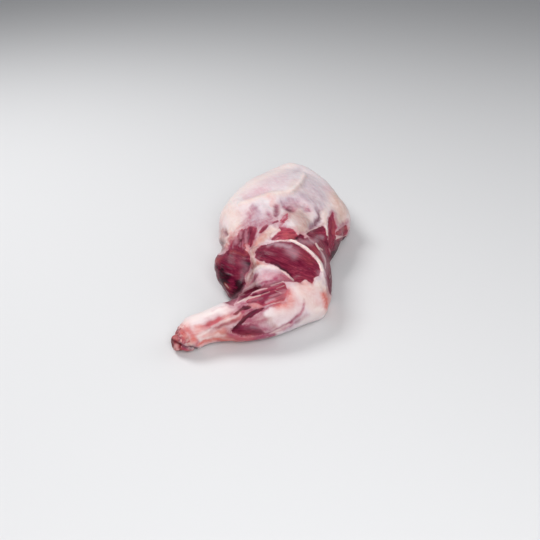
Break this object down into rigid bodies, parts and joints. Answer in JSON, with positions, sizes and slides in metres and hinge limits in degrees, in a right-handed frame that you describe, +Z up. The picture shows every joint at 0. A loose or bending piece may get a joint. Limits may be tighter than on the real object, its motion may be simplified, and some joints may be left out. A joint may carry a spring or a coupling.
{
  "type": "lamb shoulder",
  "caption": "Raw bone-in lamb shoulder with the fore shank left on, lying fat side up: broad blade end, muscled upper arm, folded shank with its cut bone end.",
  "frame": {"origin": "under the middle of the box round the whole shoulder, on the surface that it lies on", "axes": "+Z up, the way it lies; +Y from the shank towards the blade end, its longest extent; +X towards the elbow side"},
  "size_m": [0.2092, 0.3908, 0.0734],
  "materials": {
    "raw_lamb": "moist raw lamb: cream fat, dark red muscle and silvery membrane",
    "bone_end": "moist pink bone and cartilage"
  },
  "bodies": {
    "root": {"shoulder_meat": "raw_lamb", "shank_bone": "bone_end"}
  },
  "joints": []
}
